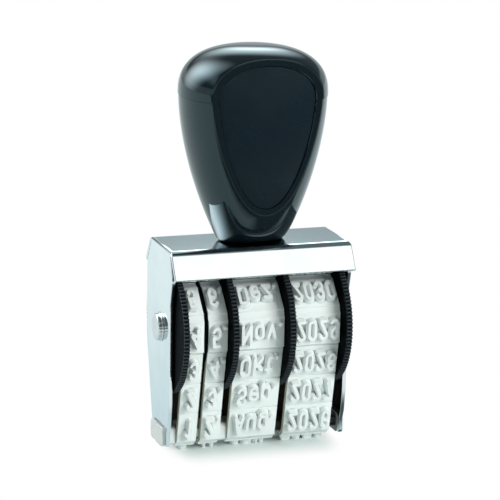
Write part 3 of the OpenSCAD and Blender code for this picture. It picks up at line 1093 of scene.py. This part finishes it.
@dataclass
class Handle:
    """Egg-shaped grip that narrows to an oval neck, with front and rear flats and inlaid panels."""

    top_z: float = SIZES.top_z
    seam_z: float = 69.0
    cap_h: float = 9.3
    cap_e: float = 2.55
    grip_r: float = 14.3
    body_r: float = 14.18
    side: Triple = (6.55, 1.79, 1.0)
    deep: Triple = (3.8, 1.1, 0.315)
    flat_h: float = 9.2
    land_w: float = 1.4
    foot_r: float = 0.6
    panel_in: float = 0.3
    panel_t: float = 0.7
    panel_edge: tuple[Pair, ...] = ((0.0, 0.14), (0.04, 0.04), (0.14, 0.0))
    fit_gap: float = SIZES.fit_gap
    round_w: float = 0.32
    round_y: float = 0.3
    round_steps: int = 10
    lead_in: float = 0.12
    seam_edge: float = 0.08
    steps: int = 64
    rows: int = 57

    def taper(self, z: Array, run: Triple) -> Array:
        """Half size under the seam: a power curve down to the neck, then a quarter round at the foot.

        The curve is body_r * (1 - loss * t^e)^q, with t from 0 at the seam to 1 at the neck and the loss such
        that the neck's size comes out. The round takes off foot_r * (1 - sqrt(1 - u^2)), with u from 0 to 1
        over the lowest foot_r.

        Args:
            z: heights.
            run: half size at the neck and the two powers e and q.

        Returns:
            Half sizes, rising with the height.
        """
        neck, e, q = run
        loss = 1 - (neck / self.body_r) ** (1 / q)
        t = np.clip((self.seam_z - z) / (self.seam_z - self.top_z), 0.0, 1.0)
        u = np.clip(1 - (z - self.top_z) / self.foot_r, 0.0, 1.0)
        return self.body_r * (1 - loss * t ** e) ** q - self.foot_r * (1 - np.sqrt(1 - u ** 2))

    def dome(self, z: Array) -> Array:
        """Radius above the seam: a superellipse of power cap_e."""
        u = np.clip((z - self.seam_z) / self.cap_h, 0.0, 1.0)
        return self.grip_r * (1 - u ** self.cap_e) ** (1 / self.cap_e)

    def width(self, z: Array, y: float, above: Array) -> Array:
        """Half width of the grip at height z and distance y from its middle plane.

        Args:
            z: heights.
            y: distance from the middle plane.
            above: where the dome's formula holds.

        Returns:
            Half widths: each level is an ellipse.
        """
        dome = self.dome(z)
        a, b = (np.where(above, dome, self.taper(z, run)) for run in (self.side, self.deep))
        return a * np.sqrt(np.maximum(1 - (y / np.maximum(b, 1e-9)) ** 2, 0.0))

    def ends_at(self, y: float) -> Pair:
        """Ends of the grip's section at constant y.

        Args:
            y: distance from the middle plane.

        Returns:
            The lowest and the highest z.
        """
        z = np.linspace(self.top_z, self.seam_z, 4001)
        low = float(np.interp(abs(y), self.taper(z, self.deep), z))
        return low, self.seam_z + self.cap_h * (1 - (abs(y) / self.grip_r) ** self.cap_e) ** (1 / self.cap_e)

    def flat_span(self) -> Pair:
        """Middle and half of the height of the flat."""
        low, high = self.ends_at(self.flat_h)
        return (low + high) / 2, (high - low) / 2

    def flat_x(self, z: Array, inset: float) -> Array:
        """Half width of the flat with its outline drawn in.

        Args:
            z: heights.
            inset: how far the outline is drawn in.

        Returns:
            Half widths.
        """
        mid, half = self.flat_span()
        full = math.sqrt(self.grip_r ** 2 - self.flat_h ** 2)
        outer_z = mid + half * np.clip((z - mid) / (half - inset), -1.0, 1.0)
        return self.width(outer_z, self.flat_h, outer_z > self.seam_z) * (1 - inset / full)

    def section(self, part: GripPart, y: float, inset: float | None = None) -> Array:
        """Half of a section at constant y, from the right end of the seam round to the left end.

        Its height follows a sine of the angle, so points gather where the outline turns. The middle point
        comes twice, once for each side.

        Args:
            part: which moulding.
            y: distance from the middle plane.
            inset: take the outline of the flat drawn in by this much, in place of the grip's own section.

        Returns:
            Points along the half section.
        """
        low, high = self.ends_at(y if inset is None else self.flat_h)
        draw = inset or 0.0
        reach = (low + draw if part is GripPart.BODY else high - draw) - self.seam_z
        turn = np.linspace(0.0, np.pi / 2, self.steps)
        quarter = np.concatenate([[0.0, self.seam_edge / abs(reach)], turn[1:]])
        a = np.concatenate([quarter, np.pi - quarter[::-1]])
        z = self.seam_z + reach * np.sin(a)
        above = np.full(a.shape, part is GripPart.CAP)
        half = self.width(z, y, above) if inset is None else self.flat_x(z, inset)
        return np.column_stack([np.repeat([1.0, -1.0], len(quarter)) * half, np.full_like(a, y), z])

    def face_rows(self, part: GripPart) -> list[Array]:
        """Rows from the floor of the panel's recess out over the land and its rounded edge, at the front.

        The edge is a quadratic curve from the land through the sharp corner to the side.

        Args:
            part: which moulding.

        Returns:
            The rows of points.
        """
        face = -self.flat_h
        corner, inner = self.section(part, face), self.section(part, face, self.round_w)
        outer = self.section(part, face + self.round_y)
        t = np.linspace(0.0, 1.0, self.round_steps)[:, None, None]
        edge = (1 - t) ** 2 * inner + 2 * t * (1 - t) * corner + t ** 2 * outer
        recess = [self.section(part, face + depth, self.land_w - draw) for depth, draw in (
            (self.panel_in + self.panel_t, 0.0), (self.lead_in, 0.0), (0.0, self.lead_in))]
        return recess + list(edge)

    def moulding(self, part: GripPart) -> Object:
        """Stack the sections from front to back and close the moulding at the seam and in both recesses.

        Args:
            part: which moulding.

        Returns:
            The new object.
        """
        front = self.face_rows(part)
        flip = np.array([1.0, -1.0, 1.0])
        reach = self.flat_h - self.round_y
        middle = [self.section(part, y) for y in np.linspace(-reach, reach, self.rows)[1:-1]]
        grid = np.stack(front + middle + [row * flip for row in front[::-1]])
        share = np.clip((self.flat_h - np.abs(grid[:, :1, 1])) / self.round_y, 0.0, 1.0)
        grid[:, [0, -1], :2] *= 1 - self.seam_edge / self.grip_r * share[..., None]
        shell = Shell()
        index = shell.patch(grid)
        shell.caps(index[0], index[-1], np.concatenate([index[:, 0], index[::-1, -1]]))
        return shell.object(part.value + "_moulded", sharp_deg=40.0)

    def panel(self, name: str, side: float) -> Object:
        """Inlaid panel: the flat's outline drawn in by the land, with a rounded edge round its face.

        Args:
            name: the piece's name.
            side: -1 for the front and 1 for the rear.

        Returns:
            The new object.
        """
        inset = self.land_w + self.fit_gap
        mid, half = self.flat_span()
        a = np.linspace(0.0, 2 * np.pi, 2 * self.steps, endpoint=False)
        face = self.flat_h - self.panel_in
        rows = []
        for draw, back in ((0.0, self.panel_t), *self.panel_edge):
            z = mid - (half - inset - draw) * np.cos(a)
            x = np.where(a < np.pi, 1.0, -1.0) * self.flat_x(z, inset + draw)
            x[[0, self.steps]] = 0.0
            rows.append(np.column_stack([x, np.full_like(a, side * (face - back)), z]))
        shell = Shell()
        index = shell.patch(np.stack(rows), wrap_v=True)
        shell.caps(index[0], index[-1])
        return shell.object(name)

    def build(self) -> None:
        """Make and dress the grip, its panels and the screw that holds it."""
        gloss, satin, zinc = (f.material() for f in (Finishes.ABS, Finishes.SATIN_ABS, Finishes.ZINC))
        for part in GripPart:
            place(self.moulding(part), FRAME_BODY, gloss, part.value)
        for node, side in (("front_panel", -1.0), ("rear_panel", 1.0)):
            place(self.panel(node + "_inlay", side), FRAME_BODY, satin, node)
        keep_cad(zinc, "handle_screw", "screw_washer")


@dataclass(frozen=True)
class Softbox:
    """A large soft lamp for matt surfaces, set by the direction in which it lies and its brightness."""

    name: str
    direction: Triple
    radiance: float
    distance: float = 0.75
    size: Pair = (0.4, 0.4)

    def build(self, target: Vector) -> None:
        """Hang the lamp and aim it at the target.

        Args:
            target: the place that it faces.
        """
        data = bpy.data.lights.new(self.name, "AREA")
        data.shape = "RECTANGLE"
        data.size, data.size_y = self.size
        data.energy = self.radiance * math.pi * self.size[0] * self.size[1]
        lamp = link(self.name, data)
        away = Vector(self.direction).normalized()
        lamp.visible_glossy = False
        lamp.location = target + away * self.distance
        lamp.rotation_euler = away.to_track_quat("Z", "Y").to_euler()


@dataclass(frozen=True)
class Glow:
    """A soft-edged light panel in the surround, which mirrors show: full in its middle, fading to nothing."""

    direction: Triple
    spread: Pair
    strength: float
    soft: float = 1.0
    colour: str = "#E9F6F8"

    def over(self, tree: NodeTree, where: NodeSocket, tone: NodeSocket) -> NodeSocket:
        """Add the panel to the surround's colour.

        Args:
            tree: the world's node tree.
            where: the ray's direction.
            tone: the colour so far.

        Returns:
            The colour with the panel on top.
        """
        away = Vector(self.direction).normalized()
        local = add(tree, "Mapping", {
            "Vector": where, "Location": away, "Rotation": away.to_track_quat("Z", "Y").to_euler(),
            "Scale": (*self.spread, 1.0)}, vector_type="TEXTURE")
        reach = add(tree, "VectorMath", {0: local}, "Value", operation="LENGTH")
        share = add(tree, "MapRange", {"Value": reach, 1: 1.0, 2: 1.0 - self.soft, 4: self.strength}, **SOFT)
        light = add(tree, "VectorMath", {0: linear(self.colour)[:3], "Scale": share}, operation="SCALE")
        return add(tree, "VectorMath", {0: tone, 1: light}, operation="ADD")


@dataclass
class Studio:
    """Camera, lamps, world and floor of the photograph.

    Each ramp gives two readings, in metres on the floor or as a share of a direction, between which one tone
    goes over into the next.
    """

    azimuth: float = -18.638
    elevation: float = 13.592
    roll: float = 0.942
    distance: float = 0.470212
    focal_px: float = 2442.798
    image_px: float = 500.0
    sensor_mm: float = 36.0
    target: Triple = (-0.000055, 0.0, 0.038383)
    lamps: tuple[Softbox, ...] = (
        Softbox("key_box", (0.6, -0.8, 0.42), 8.3),
        Softbox("top_box", (0.1, -0.2, 1.0), 0.8, 0.8, (0.5, 0.5)),
        Softbox("side_box", (-0.9, 0.3, 0.4), 4.5),
        Softbox("rear_box", (0.25, 0.8, 0.6), 5.0),
    )
    glows: tuple[Glow, ...] = (
        Glow((0.30, 0.884, 0.36), (0.16, 0.142), 2.6),
        Glow((0.278, 0.84, 0.47), (0.36, 0.31), 3.1, colour="#DDF2F7"),
        Glow((-0.605, 0.594, 0.531), (0.554, 0.744), 8.0, colour="#EFF7FA"),
        Glow((-0.598, 0.464, 0.653), (1.4, 0.327), 1.5, colour="#EFF7FA"),
        Glow((0.31, -0.63, 0.71), (0.6, 0.4), 1.35, 0.5, "#FAFDFB"),
    )
    sky_ramp: Pair = (0.15, 0.243)
    fill_from: Triple = (0.5, -0.75, 0.43)
    fill_ramp: Pair = (-0.1, 0.7)
    floor_half: float = 3.0
    shade_half: Triple = (0.012, 0.003, 0.0)
    shade_stretch: Triple = (1.7, 1.0, 1.0)
    shade_fade: float = 0.0105
    near_ramp: Pair = (0.02, 0.13)
    lit_ramp: Pair = (-0.021, -0.03)
    far_ramp: Pair = (-0.12, -0.165)
    front_ramp: Pair = (0.004, -0.004)
    left_ramp: Pair = (-0.012, 0.004)
    away_ramp: Pair = (-0.03, -0.045)
    steep_ramp: Pair = (0.32, 0.55)
    floor_glow: float = 1.12

    def camera(self) -> None:
        """Set the camera as fitted to the photograph: turn, height, roll, distance and focal length."""
        az, el, roll = np.radians([self.azimuth, self.elevation, self.roll])
        back = Vector((math.sin(az) * math.cos(el), -math.cos(az) * math.cos(el), math.sin(el)))
        right = Vector((math.cos(az), math.sin(az), 0.0))
        up = back.cross(right)
        across = right * math.cos(roll) + up * math.sin(roll)
        upright = up * math.cos(roll) - right * math.sin(roll)
        data = bpy.data.cameras.new("camera")
        data.sensor_width = self.sensor_mm
        data.lens = self.focal_px / self.image_px * self.sensor_mm
        data.clip_start, data.clip_end = 0.01, 50.0
        cam = link("camera", data)
        turn = Matrix((across, upright, back)).transposed().to_4x4()
        cam.matrix_world = Matrix.Translation(Vector(self.target) + back * self.distance) @ turn
        bpy.context.scene.camera = cam

    def world(self) -> None:
        """White to the camera; dark with light panels in mirrors; soft fill from the front for the rest."""
        world = bpy.data.worlds.new("studio")
        bpy.context.scene.world = world
        world.use_nodes = True
        tree = world.node_tree
        tree.nodes.clear()
        ray = add(tree, "LightPath").node.outputs
        mirror = add(tree, "Math", {0: ray["Is Glossy Ray"], 1: ray["Is Transmission Ray"]}, operation="ADD")
        where = add(tree, "TexCoord", out="Generated")
        height = add(tree, "SeparateXYZ", {0: where}, "Z")
        sky = layered(tree, "#CBD6D8", (height, *self.sky_ramp, "#657073"), **SOFT)
        for glow in self.glows:
            sky = glow.over(tree, where, sky)
        ahead = add(tree, "VectorMath", {0: where, 1: self.fill_from}, "Value", operation="DOT_PRODUCT")
        tone = layered(tree, "#2A2D2E", (ahead, *self.fill_ramp, "#A6AEAD"), (mirror, 0.0, 1.0, sky),
                       (ray["Is Camera Ray"], 0.0, 1.0, "#FFFFFF"))
        add(tree, "OutputWorld", {"Surface": add(tree, "Background", {"Color": tone, "Strength": 1.0})})

    def mirrored_floor(self, tree: NodeTree, where: NodeSocket) -> NodeSocket:
        """The floor's painted reflection, as mirrors see it: bluish near by, white in front, then dark far in
        front.

        It is also dark in front to mirrors that look steeply down, except close by on the left.

        Args:
            tree: the floor's node tree.
            where: Object coordinates.

        Returns:
            The colour output.
        """
        x, y = (add(tree, "SeparateXYZ", {0: where}, axis) for axis in "XY")
        rise = add(tree, "SeparateXYZ", {0: add(tree, "NewGeometry", out="Incoming")}, "Z")
        reach = add(tree, "VectorMath", {0: where}, "Value", operation="LENGTH")
        right, away = (add(tree, "MapRange", {"Value": value, 1: ramp[0], 2: ramp[1]})
                       for value, ramp in ((x, self.left_ramp), (y, self.away_ramp)))
        steep = add(tree, "Math", {0: right, 1: away}, operation="MAXIMUM")
        for value, ramp in ((y, self.front_ramp), (rise, self.steep_ramp)):
            steep = add(tree, "MapRange", {"Value": value, 1: ramp[0], 2: ramp[1], 4: steep})
        near = layered(tree, "#CFE3E6", (reach, *self.near_ramp, "#EAF7F8"), (y, *self.lit_ramp, "#F2F8F8"),
                       (steep, 0.0, 1.0, "#4A555A"))
        return layered(tree, near, (y, *self.far_ramp, "#4E585E"), **SOFT)

    def floor(self) -> None:
        """White floor that keeps the stamp's shadow near it; mirrors see a painted reflection that it emits.
        """
        half = self.floor_half
        mesh = bpy.data.meshes.new("floor")
        corners = [(-half, -half, 0), (half, -half, 0), (half, half, 0), (-half, half, 0)]
        mesh.from_pydata(corners, [], [(0, 1, 2, 3)])
        floor = link("floor", mesh)
        material, tree = blank_material("white_card")
        where = clear = add(tree, "TexCoord", out="Object")
        zero = (0.0, 0.0, 0.0)
        for operation, other in (("ABSOLUTE", zero), ("SUBTRACT", self.shade_half), ("MAXIMUM", zero),
                                 ("MULTIPLY", self.shade_stretch)):
            clear = add(tree, "VectorMath", {0: clear, 1: other}, operation=operation)
        off = add(tree, "VectorMath", {0: clear}, "Value", operation="LENGTH")
        fade = add(tree, "MapRange", {"Value": off, 1: 0.0, 2: self.shade_fade}, **SOFT)
        ray = add(tree, "LightPath").node.outputs
        share = add(tree, "Math", {0: fade, 1: ray["Is Camera Ray"]}, operation="MULTIPLY")
        card = add(tree, "BsdfDiffuse", {"Color": "#E6EFEC"})
        white = add(tree, "Emission", {"Color": "#FFFFFF", "Strength": 1.0})
        tone = self.mirrored_floor(tree, where)
        image = add(tree, "Emission", {"Color": tone, "Strength": self.floor_glow})
        shown = add(tree, "MixShader", {0: share, 1: card, 2: white})
        mix = add(tree, "MixShader", {0: ray["Is Glossy Ray"], 1: shown, 2: image})
        add(tree, "OutputMaterial", {"Surface": mix})
        mesh.materials.append(material)

    def build(self) -> None:
        """Set up the whole studio."""
        bpy.context.scene.view_settings.view_transform = "Standard"
        self.camera()
        self.world()
        self.floor()
        for lamp in self.lamps:
            lamp.build(Vector(self.target))


MONTHS = ("Jul.", "Aug.", "Sep.", "Okt.", "Nov.", "Dez.", "Jan.", "Feb.", "März", "Apr.", "Mai", "Jun.")
TENS = tuple(str(n) for n in range(10)) + ("", "")
UNITS = tuple(f"{n % 10}." for n in range(1, 11)) + ("", "")
YEARS = tuple(str(2025 + n) for n in range(12))


def main() -> None:
    """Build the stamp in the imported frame, piece by piece."""
    logging.basicConfig(level=logging.INFO, format="%(name)s %(message)s")
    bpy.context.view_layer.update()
    Studio().build()
    for part in (SheetHousing(), Bridge()):
        part.dress(part.build())
    AxleHardware().build()
    nylon = Finishes.NYLON.material()
    for wheel in (ThumbWheel("wheel_day_tens", -16.95, -11.84), ThumbWheel("wheel_day_units", -7.15, -11.46),
                  ThumbWheel("wheel_month", 4.19, -5.97), ThumbWheel("wheel_year", 15.53, 5.37)):
        wheel.dress(wheel.build(), nylon)
    rubber = Finishes.RUBBER.material()
    for belt in (DateBelt("belt_day_tens", -15.77, 3.85, TENS),
                 DateBelt("belt_day_units", -11.08, 3.85, UNITS),
                 DateBelt("belt_month", -5.59, 9.7, MONTHS), DateBelt("belt_year", 5.75, 9.7, YEARS)):
        belt.dress(belt.build(), rubber)
    Handle().build()


if __name__ == "__main__":
    main()
